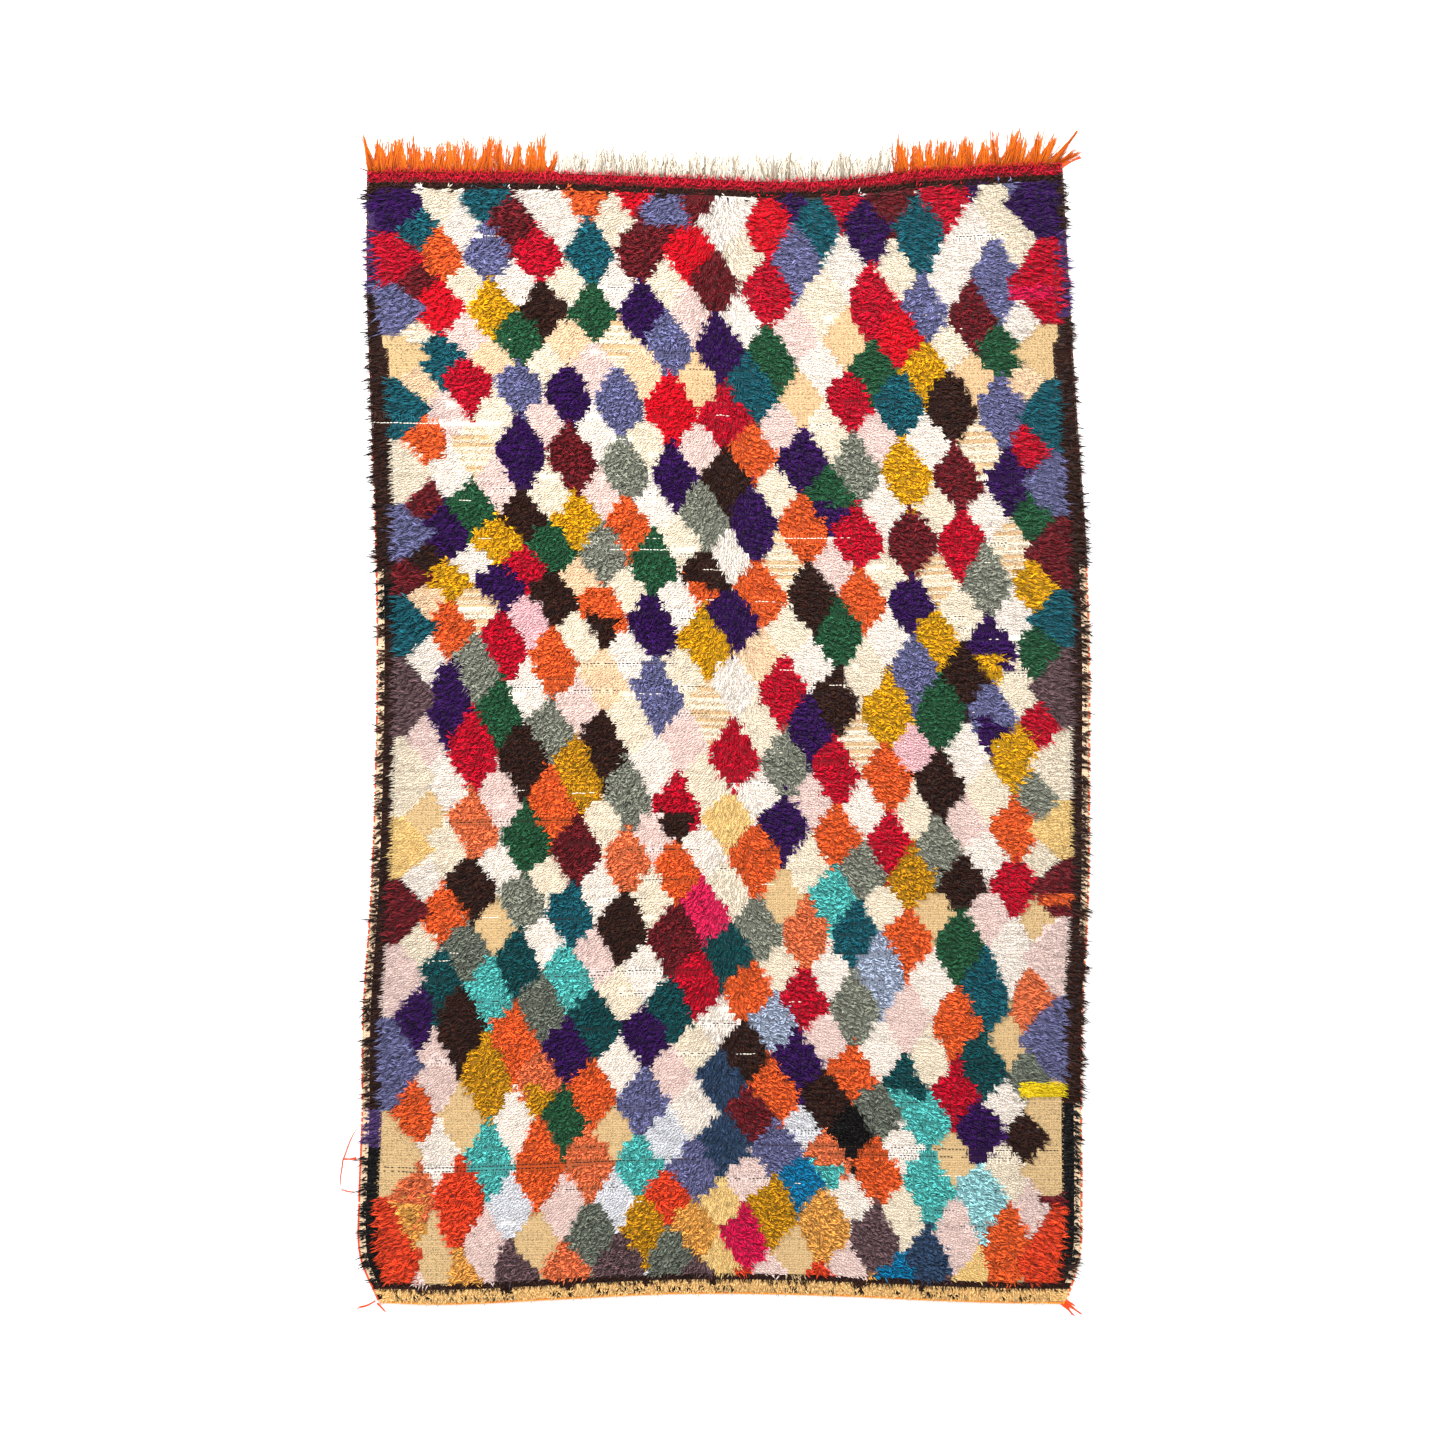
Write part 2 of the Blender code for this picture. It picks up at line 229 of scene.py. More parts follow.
# where the pale warps of the selvedge show beside the strips: side, start and stop from the fringed end
SELVEDGES = ((-1, 0.84, 2.37), (1, 0.84, 1.62), (1, 1.95, 2.37))
SELVEDGE_WIDTH = 0.0075
# the bands along the two ends and the dark line inside each: how far they reach from their end
FRINGED_BAND = 0.025
FRINGED_LINE = 0.044
BOUND_BAND = 0.020
BOUND_LINE = 0.039
# where a row of dark dots runs through the band of the bound end
DOTS_START = 0.006
DOTS_STOP = 0.010


def wave_at(waves, column, shares):
    """A table of waves, read at any share by a smooth curve through its rows."""
    at, out = np.array(waves)[:, 0], np.array(waves)[:, column]
    ends_at, ends_out = np.r_[at[0], at, at[-1]], np.r_[out[0], out, out[-1]]
    slope = (ends_out[2:] - ends_out[:-2]) / (ends_at[2:] - ends_at[:-2])
    i = np.clip(np.searchsorted(at, shares, side="right") - 1, 0, len(at) - 2)
    width = at[i + 1] - at[i]
    t = np.clip((shares - at[i]) / width, 0.0, 1.0)
    return (
        (2 * t**3 - 3 * t**2 + 1) * out[i] + (t**3 - 2 * t**2 + t) * width * slope[i]
        + (3 * t**2 - 2 * t**3) * out[i + 1] + (t**3 - t**2) * width * slope[i + 1]
    )


def cloth_places(across, along):
    """Where shares of the width and of the length lie on the waving cloth."""
    left = -CLOTH_WIDTH / 2 - wave_at(SIDE_WAVES, 1, along)
    right = CLOTH_WIDTH / 2 + wave_at(SIDE_WAVES, 2, along)
    bound = -CLOTH_LENGTH / 2 - wave_at(END_WAVES, 1, across)
    fringed = CLOTH_LENGTH / 2 + wave_at(END_WAVES, 2, across)
    return left + (right - left) * across, bound + (fringed - bound) * along


def slow_drift(across, along, seed, quickness=1.0):
    """A slow wander over the cloth, between about -1 and 1."""
    chance = random.Random(seed)
    total = np.zeros_like(across)
    for share, sign in ((0.4, 1), (0.35, -1), (0.25, 1)):
        turns_across = sign * quickness * chance.uniform(1.5, 4.5)
        turns_along = quickness * chance.uniform(2.0, 7.0)
        total += share * np.sin(2 * math.pi * (turns_across * across + turns_along * along + chance.random()))
    return total


def deal_lozenges(seed):
    """A yarn for each lozenge. Bright ones stack in upright runs with pale runs between them, and from patch
    to patch the runs step sideways by one. No lozenge meets its own yarn. Now and then a yarn runs out."""
    chance = random.Random(seed)
    dealt = {(0, row): AXIS_YARNS[row // 2] for row in range(1, 2 * len(AXIS_YARNS), 2)}
    dealt.update(SINGLE_LOZENGES)
    dealt.update({(-13, 2 * i): yarn for i, (yarn, _) in enumerate(LEFT_BLOCKS)})
    dealt.update({(13, 2 * i): yarn for i, (yarn, _) in enumerate(RIGHT_BLOCKS)})
    second = dict(dealt)
    for row in range(-2, 38):
        band = next(band for band in BANDS if row <= band.last_row)
        for column in range(-LOZENGE_COLUMNS, LOZENGE_COLUMNS + 1):
            if (column + row) % 2 == 0 or (column, row) in dealt:
                continue
            patch = slow_drift(np.array([column / 28 + 0.5]), np.array([row / 34]), 3, 0.5)[0]
            in_run = (column % 2 == 0) == (patch > 0)
            is_bright = chance.random() < (0.95 if in_run else 0.12)
            choice = (band.bright if is_bright else band.pale).split()
            near = {dealt.get((column + i, row + j)) for i, j in BESIDE}
            yarn = chance.choice([yarn for yarn in choice if yarn not in near] or choice)
            dealt[column, row] = yarn
            ran_out = is_bright and chance.random() < 0.08
            second[column, row] = chance.choice(band.bright.split()) if ran_out else yarn
    return dealt, second


BESIDE = ((0, -2), (0, 2), (-2, 0), (2, 0), (-1, -1), (1, -1), (-1, 1), (1, 1))
BRIGHT = set(" ".join(band.bright for band in BANDS).split())
BRIGHT |= set(SINGLE_LOZENGES.values()) | {"purple", "cherry"}
IS_BRIGHT = np.array([yarn.name in BRIGHT for yarn in YARNS] + [False])
DEALT, SECOND = deal_lozenges(seed=5)


def stack_reading(stack, distance):
    """Which item of a stack of heights lies at each distance, and how far through it, from 0 to 1."""
    ends = np.cumsum([height for _, height in stack])
    item = np.minimum(np.searchsorted(ends, distance), len(stack) - 1)
    heights = np.array([height for _, height in stack])
    return item, 1.0 - (ends[item] - distance) / heights[item]


def lozenge_rows(across, along):
    """The row of lozenges at each place. Towards a side the rows keep step with the blocks of that side."""
    shares, rows = np.array(LOZENGE_ROWS).T
    row = np.interp(1 - along, shares, rows)
    from_middle = np.abs(across - 0.5) * CLOTH_WIDTH
    beside = np.clip(from_middle / (CLOTH_WIDTH / 2 - BLOCK_WIDE), 0, 1)
    for side, blocks in ((-1, LEFT_BLOCKS), (1, RIGHT_BLOCKS)):
        ends = np.cumsum([0.0] + [height for _, height in blocks])
        side_row = np.interp((1 - along) * CLOTH_LENGTH, ends, 2 * np.arange(len(ends)) - 1)
        row = np.where((across - 0.5) * side > 0, row + beside * (side_row - row), row)
    return row


def lozenge_yarns(column, row):
    """The number of the yarn of the lozenge at each place."""
    rising = np.floor((column + row - 1) / 2 + 0.5).astype(int)
    falling = np.floor((row - 1 - column) / 2 + 0.5).astype(int)
    ended = row - (rising + falling + 1) > 0.25
    places = zip((rising - falling).tolist(), (rising + falling + 1).tolist(), ended.tolist())
    return np.array([YARN_NUMBER[(SECOND if rest else DEALT).get((i, j), "white")] for i, j, rest in places])


def yarns_at(across, along):
    """The number of the yarn that is knotted in at each place of the cloth."""
    knot_row = (along * CLOTH_LENGTH / KNOT_ROW_PITCH).astype(int)
    # a lozenge grows or shrinks at every second row of knots, so its sides are stepped
    stepped = ((knot_row // 2) * 2 + 1) * KNOT_ROW_PITCH / CLOTH_LENGTH
    column = (across - 0.5) * CLOTH_WIDTH / LOZENGE_HALF_WIDTH + COLUMN_WANDER * slow_drift(across, along, 1)
    row = lozenge_rows(across, stepped) + ROW_WANDER * slow_drift(across, stepped, 2)
    jag_chance = np.random.default_rng(8)
    jag = 0.45 * jag_chance.uniform(0, JAG, (2, 400, 40))
    jag += 0.75 * np.repeat(jag_chance.uniform(0, JAG, (2, 200, 40)), 2, axis=1)
    lozenge = np.clip((column / 2 + 20).astype(int), 0, 39)
    yarns = lozenge_yarns(column, row)
    for side in (-1, 1):
        spread = lozenge_yarns(column, row + side * jag[max(side, 0)][knot_row, lozenge])
        yarns = np.where(IS_BRIGHT[spread], spread, yarns)
    stripe = np.where(knot_row % 2 == 0, YARN_NUMBER["cream"], YARN_NUMBER["ecru"])
    yarns = np.where(yarns == YARN_NUMBER["striped"], stripe, yarns)
    from_fringed = (1 - along) * CLOTH_LENGTH
    from_side = np.minimum(across, 1 - across) * CLOTH_WIDTH
    for side, blocks, strip in ((-1, LEFT_BLOCKS, LEFT_STRIP), (1, RIGHT_BLOCKS, RIGHT_STRIP)):
        here = (across - 0.5) * side > 0
        item, through = stack_reading(blocks, from_fringed)
        reach = BLOCK_NARROW + (BLOCK_WIDE - BLOCK_NARROW) * (1 - np.abs(2 * through - 1))
        reach = reach + 0.05 * (jag[0][knot_row, 0] - JAG / 2)
        numbers = np.array([YARN_NUMBER[yarn] for yarn, _ in blocks])
        yarns = np.where(here & (from_side < reach), numbers[item], yarns)
        for bar_side, start, height, least, most, yarn in BARS:
            inside = (from_fringed > start) & (from_fringed < start + height)
            inside &= (from_side > least) & (from_side < most)
            yarns = np.where(here & inside & (bar_side == side), YARN_NUMBER[yarn], yarns)
        item, _ = stack_reading(strip, from_fringed)
        numbers = np.array([YARN_NUMBER[yarn] for yarn, _ in strip])
        strip_reach = STRIP_WIDTH * np.interp(from_fringed, *STRIP_TAPER)
        strip_reach = strip_reach + 0.026 * (jag[1][knot_row, 1] - JAG / 2)
        yarns = np.where(here & (from_side < strip_reach), numbers[item], yarns)
        for selvedge_side, start, stop in SELVEDGES:
            bare = here & (selvedge_side == side) & (from_side < SELVEDGE_WIDTH)
            bare &= (from_fringed > start) & (from_fringed < stop)
            yarns = np.where(bare, YARN_NUMBER["peach"], yarns)
    uneven = 0.0018 * np.sin(61 * across) + 0.0016 * np.sin(149 * across + 1)
    broken = np.random.default_rng(4).uniform(0, 0.013, 240)[(across * 239).astype(int)]
    dotted = np.random.default_rng(6).random(300)[(across * 299).astype(int)] < 0.35
    from_bound = along * CLOTH_LENGTH
    ends = (
        (from_bound < BOUND_LINE + uneven - 0.3 * broken, "brown"),
        (from_bound < BOUND_BAND + uneven + 0.3 * broken, "amber"),
        ((from_bound > DOTS_START) & (from_bound < DOTS_STOP) & dotted, "brown"),
        (from_fringed < FRINGED_LINE + uneven - 0.8 * broken, "brown"),
        (from_fringed < FRINGED_BAND + uneven, "cherry"),
    )
    for near_end, yarn in ends:
        yarns = np.where(near_end, YARN_NUMBER[yarn], yarns)
    return yarns


def linear_colour(code):
    """A colour code such as #FFA04E as the shader's linear values."""
    values = [int(code[i : i + 2], 16) / 255 for i in (1, 3, 5)]
    return [v / 12.92 if v <= 0.04045 else ((v + 0.055) / 1.055) ** 2.4 for v in values]


def mesh_values(mesh, attribute, kind, domain, values):
    """Stores one value for each point or corner of a mesh, under a name that its material reads."""
    layer = mesh.attributes.new(attribute, kind, domain)
    field = "color" if kind == "FLOAT_COLOR" else "value"
    layer.data.foreach_set(field, np.asarray(values, dtype=np.float32).ravel())


def woven_ground():
    """The sheet of cloth, each of its cells in the colour of the yarn knotted there."""
    bpy.ops.object.select_all(action="DESELECT")
    bpy.ops.mesh.primitive_grid_add(
        x_subdivisions=GROUND_CELLS_ACROSS, y_subdivisions=GROUND_CELLS_ALONG, size=1.0
    )
    cloth = bpy.context.object
    cloth.name = "woven_ground"
    mesh = cloth.data
    places = np.empty(len(mesh.vertices) * 3)
    mesh.vertices.foreach_get("co", places)
    shares = places.reshape(-1, 3)[:, :2] + 0.5
    centres = np.empty(len(mesh.polygons) * 3)
    mesh.polygons.foreach_get("center", centres)
    middle = centres.reshape(-1, 3)[:, :2] + 0.5
    # the last value is how much light is left on the upper face, between the locks
    left_lit = [0.50 if yarn.name in BRIGHT else 1.00 for yarn in YARNS]
    colours = np.array([linear_colour(yarn.colour) + [lit] for yarn, lit in zip(YARNS, left_lit)])
    mesh_values(mesh, "yarn", "FLOAT_COLOR", "CORNER", np.repeat(colours[yarns_at(*middle.T)], 4, axis=0))
    across, along = cloth_places(shares[:, 0], shares[:, 1])
    mesh.vertices.foreach_set("co", np.stack([across, along, np.zeros_like(across)], axis=1).ravel())
    thickness = cloth.modifiers.new("thickness", "SOLIDIFY")
    thickness.thickness = GROUND_THICKNESS
    thickness.offset = 1.0
    bpy.ops.object.modifier_apply(modifier="thickness")
    return cloth


def multiplied(material, first, second):
    """The product of two values in a material."""
    product = material.node_tree.nodes.new("ShaderNodeMath")
    product.operation = "MULTIPLY"
    material.node_tree.links.new(first, product.inputs[0])
    material.node_tree.links.new(second, product.inputs[1])
    return product.outputs["Value"]


def coloured(material, shader, colour, shade):
    """Gives a material its colour, times its shade."""
    tone = material.node_tree.nodes.new("ShaderNodeMix")
    tone.data_type = "RGBA"
    tone.blend_type = "MULTIPLY"
    set_values(tone, {"Factor": 1.0})
    material.node_tree.links.new(colour, tone.inputs["A"])
    material.node_tree.links.new(shade, tone.inputs["B"])
    material.node_tree.links.new(tone.outputs["Result"], shader.inputs["Base Color"])


def bumped(material, shader, height, strength, distance):
    """Raises a material's surface by a height."""
    bump = material.node_tree.nodes.new("ShaderNodeBump")
    set_values(bump, {"Strength": strength, "Distance": distance})
    material.node_tree.links.new(height, bump.inputs["Height"])
    material.node_tree.links.new(bump.outputs["Normal"], shader.inputs["Normal"])


def ground_finish():
    """Knot colours from the mesh, raised in the ribs of warp and weft, with painted shade where the ribs lie
    low and on the upper face between the locks.
    """
    material, shader = matt_finish("ground_weave", 0.95, 0.15)
    nodes, links = material.node_tree.nodes, material.node_tree.links
    yarn = nodes.new("ShaderNodeAttribute")
    yarn.attribute_name = "yarn"
    place = nodes.new("ShaderNodeTexCoord")
    heights = []
    for direction, scale in (("X", 88.0), ("Y", 62.0)):
        ribs = nodes.new("ShaderNodeTexWave")
        ribs.bands_direction = direction
        set_values(ribs, {"Scale": scale, "Distortion": 1.2, "Detail Scale": 1.5})
        links.new(place.outputs["Object"], ribs.inputs["Vector"])
        heights.append(ribs.outputs["Fac"])
    joined = multiplied(material, *heights)
    # the weave is painted darker where its ribs lie low: painted shade
    depth = nodes.new("ShaderNodeMapRange")
    set_values(depth, {"To Min": 0.62, "To Max": 1.05})
    links.new(joined, depth.inputs["Value"])
    height = nodes.new("ShaderNodeSeparateXYZ")
    links.new(place.outputs["Object"], height.inputs["Vector"])
    # under the bright wools the upper face is painted darker by the yarn's last value: painted shade between
    # the locks
    face_up = nodes.new("ShaderNodeMapRange")
    set_values(face_up, {"From Max": GROUND_THICKNESS, "To Min": 1.0})
    links.new(height.outputs["Z"], face_up.inputs["Value"])
    links.new(yarn.outputs["Alpha"], face_up.inputs["To Max"])
    lit = multiplied(material, depth.outputs["Result"], face_up.outputs["Result"])
    coloured(material, shader, yarn.outputs["Color"], lit)
    bumped(material, shader, joined, 0.7, 0.002)
    return material


ground = woven_ground()
ground.data.materials.append(ground_finish())
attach(ground, "root")
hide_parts("rug_body")


# The pile: cut locks of yarn knotted in rows across the ground. They part down the middle and lean outwards,
# short and close in the field, long and flat towards the sides. The bright wools stand over the pale yarns,
# in tufts whose tips gather and leave gaps between them, made darker by painted shade.
LOCK_LENGTH = 0.0165
SIDE_LOCK_LENGTH = 0.0250
LOCK_RADIUS = 0.0021
LOCK_ROOT = GROUND_THICKNESS - 0.001
TALLEST_RISE = 0.021
# how far from the sides and from the fringed end the locks are longer, from the parting they turn, and from
# the two ends they are short
SIDE_REACH = 0.24
FRINGED_REACH = 0.45
PARTING_REACH = 0.045
BAND_REACH = 0.037
TUFT_SIZE = 0.0085
KNOT_ROWS = int(CLOTH_LENGTH / KNOT_ROW_PITCH)
PIT_PITCH = 0.0105
# how light a lock is at its root and its tip, and how light its second shade is. The bright wools get painted
# shade at the root and a painted highlight at the tip; the pale yarns' roots are painted lighter against
# their shade
BRIGHT_SHADES = (0.42, 1.70, 0.90)
PALE_SHADES = (1.12, 1.00, 0.95)
Parting = namedtuple("Parting", "start stop y yarn")
# rows where the pile parts and the weft shows: from and to across the cloth, place along it, and the weft
PARTINGS = (
    Parting(-0.255, -0.065, 0.359, "cream"), Parting(0.085, 0.250, 0.376, "cream"),
    Parting(-0.760, -0.470, 0.622, "cream"), Parting(-0.240, -0.150, 0.050, "cream"),
    Parting(0.530, 0.610, 0.168, "cream"), Parting(-0.700, -0.050, -0.930, "dark"),
    Parting(-0.700, -0.300, -0.945, "dark"), Parting(0.080, 0.700, -0.900, "dark"),
    Parting(0.220, 0.600, -0.914, "dark"), Parting(-0.340, -0.120, 0.118, "dark"),
    Parting(-0.600, -0.330, -0.215, "dark"), Parting(-0.300, -0.040, -0.530, "dark"),
)
# shorter ones lie here and there over the whole field
parting_chance = random.Random(12)
for weft, how_many, shortest, longest in (("cream", 60, 0.010, 0.050), ("dark", 70, 0.030, 0.130)):
    for _ in range(how_many):
        start, y = parting_chance.uniform(-0.62, 0.56), parting_chance.uniform(-1.08, 1.04)
        PARTINGS += (Parting(start, start + parting_chance.uniform(shortest, longest), y, weft),)


def parted_row(parted):
    """The row of knots above which the pile parts."""
    share = (parted.start + parted.stop) / 2 / CLOTH_WIDTH + 0.5
    (_, bound), (_, fringed) = cloth_places(share, 0.0), cloth_places(share, 1.0)
    return round((parted.y - bound) / (fringed - bound) * KNOT_ROWS)


def spun_lock(name, sides, ring_shares, ring_widths, tip):
    """One lock of yarn of unit length, upright on its root: a cone cut into rings that are swelled."""
    bpy.ops.object.select_all(action="DESELECT")
    bpy.ops.mesh.primitive_cone_add(vertices=sides, radius1=1.0, radius2=tip, depth=1.0, location=(0, 0, 0.5))
    lock = bpy.context.object
    lock.name = name
    bpy.ops.object.transform_apply(location=True, rotation=False, scale=False)
    bpy.ops.object.mode_set(mode="EDIT")
    for share in ring_shares:
        bpy.ops.mesh.select_all(action="SELECT")
        bpy.ops.mesh.bisect(plane_co=(0, 0, share), plane_no=(0, 0, 1))
    bpy.ops.object.mode_set(mode="OBJECT")
    for vert in lock.data.vertices:
        for share, width in zip(ring_shares, ring_widths):
            if abs(vert.co.z - share) < 1e-4:
                swell = width / (1 - (1 - tip) * share)
                vert.co.x *= swell
                vert.co.y *= swell
    return lock


def joined_copies(name, original, points):
    """One mesh of many copies of a modelled shape. points holds each copy's own corners, copy by copy."""
    copies, corners = points.shape[:2]
    faces = len(original.data.polygons)
    totals = np.empty(faces, dtype=np.int32)
    original.data.polygons.foreach_get("loop_total", totals)
    ring = np.empty(len(original.data.loops), dtype=np.int32)
    original.data.loops.foreach_get("vertex_index", ring)
    loops = (ring[None, :] + corners * np.arange(copies)[:, None]).ravel()
    all_totals = np.tile(totals, copies)
    starts = np.concatenate([[0], np.cumsum(all_totals)[:-1]])
    mesh = bpy.data.meshes.new(name)
    mesh.vertices.add(copies * corners)
    mesh.vertices.foreach_set("co", points.astype(np.float32).ravel())
    mesh.loops.add(len(loops))
    mesh.loops.foreach_set("vertex_index", loops.astype(np.int32))
    mesh.polygons.add(copies * faces)
    mesh.polygons.foreach_set("loop_start", starts.astype(np.int32))
    mesh.polygons.foreach_set("loop_total", all_totals.astype(np.int32))
    mesh.update(calc_edges=True)
    mesh.shade_smooth()
    piece = bpy.data.objects.new(name, mesh)
    bpy.context.scene.collection.objects.link(piece)
    return piece


def corner_places(original):
    """Where each corner of a modelled shape lies."""
    places = np.empty(len(original.data.vertices) * 3)
    original.data.vertices.foreach_get("co", places)
    return places.reshape(-1, 3)


def leaning_copies(original, roots, over, rise, radii):
    """The corners of a lock copied to each root: it rises, then bends over to where its tip lies."""
    shape = corner_places(original)
    t = shape[None, :, 2]
    reach = np.hypot(over[:, 0], over[:, 1]) + 1e-6
    flat = np.zeros_like(reach)
    out = np.stack([over[:, 0] / reach, over[:, 1] / reach, flat], axis=1)
    side = np.stack([-out[:, 1], out[:, 0], flat], axis=1)
    up = np.array([0.0, 0.0, 1.0])
    centre = roots[:, None, :] + (reach[:, None] * t**1.5)[..., None] * out[:, None, :]
    centre = centre + (rise[:, None] * (1 - (1 - t) ** 1.6))[..., None] * up
    turned = np.arctan2(reach, rise)[:, None] * np.sqrt(t)
    thick = np.cos(turned)[..., None] * out[:, None, :] - np.sin(turned)[..., None] * up
    wide = radii[:, None, None] * shape[None, :, 1:2] * side[:, None, :]
    deep = radii[:, None, None] * shape[None, :, 0:1] * thick
    return centre + wide + deep


def yarn_finish(name, main, second, second_depth=1.0):
    """A spun yarn: two shades from lock to lock, times the painted shade and light that its piece holds from
    root to tip, with a fine fibre bump.
    """
    material, shader = matt_finish(name, 0.9, 0.06)
    nodes, links = material.node_tree.nodes, material.node_tree.links
    set_values(shader, {"Sheen Weight": 0.04, "Sheen Roughness": 0.5})
    fleck, shade = nodes.new("ShaderNodeAttribute"), nodes.new("ShaderNodeAttribute")
    fleck.attribute_name = "fleck"
    shade.attribute_name = "shade"
    colour = nodes.new("ShaderNodeMix")
    colour.data_type = "RGBA"
    deeper = [second_depth * value for value in linear_colour(second)]
    set_values(colour, {"A": (*linear_colour(main), 1.0), "B": (*deeper, 1.0)})
    links.new(fleck.outputs["Fac"], colour.inputs["Factor"])
    coloured(material, shader, colour.outputs["Result"], shade.outputs["Fac"])
    place = nodes.new("ShaderNodeTexCoord")
    fibres = nodes.new("ShaderNodeTexNoise")
    set_values(fibres, {"Scale": 700.0, "Detail": 2.0})
    links.new(place.outputs["Object"], fibres.inputs["Vector"])
    bumped(material, shader, fibres.outputs["Fac"], 0.5, 0.0008)
    return material


def spun_piece(name, original, points, finish, replaced, shades, flecks, root_shade, tip_shade):
    """Joins the copies to one piece, gives each lock its own shade times painted shade and light from root to
    tip, and puts it in the frame.
    """
    piece = joined_copies(name, original, points)
    t = np.clip(corner_places(original)[:, 2], 0, 1)
    painted_shade_by_height = root_shade + (tip_shade - root_shade) * t**0.8
    mesh_values(piece.data, "shade", "FLOAT", "POINT", shades[:, None] * painted_shade_by_height[None, :])
    mesh_values(piece.data, "fleck", "FLOAT", "POINT", flecks[:, None] * np.ones(points.shape[1]))
    piece.data.materials.append(finish)
    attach(piece, "root")
    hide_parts(replaced)
    return piece


def knot_places(chance):
    """Shares across and along of the two ends of each knot: even rows, unevenly spaced within the row."""
    across_count = int(CLOTH_WIDTH / KNOT_PITCH)
    i, j, end = np.meshgrid(np.arange(across_count), np.arange(KNOT_ROWS), (-1, 1))
    across = (i + 0.5 + 0.5 * (j % 2 - 0.5) + chance.uniform(-0.45, 0.45, i.shape)) / across_count
    along = (j + 0.5 + 0.2 * end + chance.uniform(-0.15, 0.15, i.shape)) / KNOT_ROWS
    return across.ravel().clip(0.001, 0.999), along.ravel().clip(0.001, 0.999)


pile_chance = np.random.default_rng(21)
across, along = knot_places(pile_chance)
knot_yarn = yarns_at(across, along)
x, y = cloth_places(across, along)
side_sign = np.sign(across - 0.5)
from_fringed = (1 - along) * CLOTH_LENGTH
bare = np.zeros(len(across), dtype=bool)
for side, start, stop in SELVEDGES:
    bare |= (side_sign == side) & (from_fringed > start) & (from_fringed < stop)
bare &= (0.5 - np.abs(across - 0.5)) * CLOTH_WIDTH < SELVEDGE_WIDTH
knotted = ~bare
across, along, knot_yarn, x, y = across[knotted], along[knotted], knot_yarn[knotted], x[knotted], y[knotted]
from_middle = (across - 0.5) * CLOTH_WIDTH
from_side = CLOTH_WIDTH / 2 - np.abs(from_middle)
from_end = np.minimum(along, 1 - along) * CLOTH_LENGTH
# the pile is long towards the sides, and nearly as long towards the fringed end
near_fringe = 0.8 - (1 - along) * CLOTH_LENGTH / FRINGED_REACH
long_pile = np.maximum(1 - from_side / SIDE_REACH, near_fringe).clip(0, 1)
near_parting = np.exp(-((from_middle / PARTING_REACH) ** 2))
in_band = from_end < BAND_REACH
in_strip = from_side < STRIP_WIDTH
bright = IS_BRIGHT[knot_yarn]
count = len(across)

# tufts: the few locks of one yarn that share a cell, and whose tips gather
tuft_row = (along * CLOTH_LENGTH / TUFT_SIZE).astype(int)
tuft_column = (across * CLOTH_WIDTH / TUFT_SIZE + 0.5 * (tuft_row % 2)).astype(int)
_, tuft = np.unique((tuft_row * 999 + tuft_column) * 40 + knot_yarn, return_inverse=True)
tuft_x, tuft_y = (np.bincount(tuft, weights=place) / np.bincount(tuft) for place in (x, y))
tufts = len(tuft_x)
tuft_long = pile_chance.uniform(0.78, 1.15, tufts)
tuft_shade = pile_chance.normal(0, 1, tufts)
# the pale yarns lie evenly, the bright wools every which way
wild = np.where(bright, 1.0, 0.45)
tuft_turn = pile_chance.normal(0, 0.6, tufts)[tuft] * wild
tuft_lean = pile_chance.normal(0, 9, tufts)[tuft] * wild

lengths = LOCK_LENGTH + (SIDE_LOCK_LENGTH - LOCK_LENGTH) * long_pile**1.5
lengths *= np.array([yarn.pile for yarn in YARNS])[knot_yarn]
lengths *= 1 + (tuft_long[tuft] * pile_chance.uniform(0.85, 1.1, count) - 1) * wild
lengths = np.where(in_band, 0.013 * pile_chance.uniform(0.3, 1.6, count), lengths)
# the strips stand in ragged clumps, between which the selvedge shows
clump = (2 * along * CLOTH_LENGTH / TUFT_SIZE + 0.5 * side_sign[knotted]).astype(int)
raggedness = pile_chance.choice((0.30, 0.50, 0.80, 1.15, 1.50), (2, 900))
ragged = raggedness[(across > 0.5).astype(int), clump] * pile_chance.uniform(0.75, 1.1, count)
lengths = np.where(in_strip, lengths * ragged, lengths)
leans = 44 + 28 * long_pile + 10 * near_parting + tuft_lean + pile_chance.normal(0, 6, count) * wild
leans = np.where(in_band, 40 + pile_chance.normal(0, 8, count), leans)
leans = np.radians(leans.clip(6, 80))
heading = np.arctan2(-0.25 - 1.1 * near_parting, np.sign(from_middle) * (1 - near_parting))
heading += (tuft_turn + pile_chance.normal(0, 0.25, count)) * (1 - 0.55 * long_pile)
end_heading = np.where(along > 0.5, math.pi / 2, -math.pi / 2) + pile_chance.normal(0, 0.7, count)
heading = np.where(in_band & ~in_strip, end_heading, heading)
gather = np.where(bright, 0.85, 0.1)
in_shadow = np.zeros(count, dtype=bool)
for parted in PARTINGS:
    beyond = along * KNOT_ROWS - parted_row(parted)
    near_line = (np.abs(beyond) < 1) & (from_middle > parted.start) & (from_middle < parted.stop)
    lengths = np.where(near_line, lengths * 0.6, lengths)
    leans = np.where(near_line, math.radians(58), leans)
    heading = np.where(near_line, np.sign(beyond) * math.pi / 2, heading)
    gather = np.where(near_line, 0.0, gather)
    in_shadow |= near_line & (np.abs(beyond) < 0.5) & (parted.yarn == "dark")
over_x = lengths * np.sin(leans) * np.cos(heading) + gather * (tuft_x[tuft] - x)
over_y = lengths * np.sin(leans) * np.sin(heading) + gather * (tuft_y[tuft] - y)
over = np.stack([over_x, over_y], axis=1)
rise = (lengths * np.cos(leans)).clip(0.0, TALLEST_RISE)
thickness = np.where(in_strip, 1.2, np.where(bright, 0.9, 1.15))
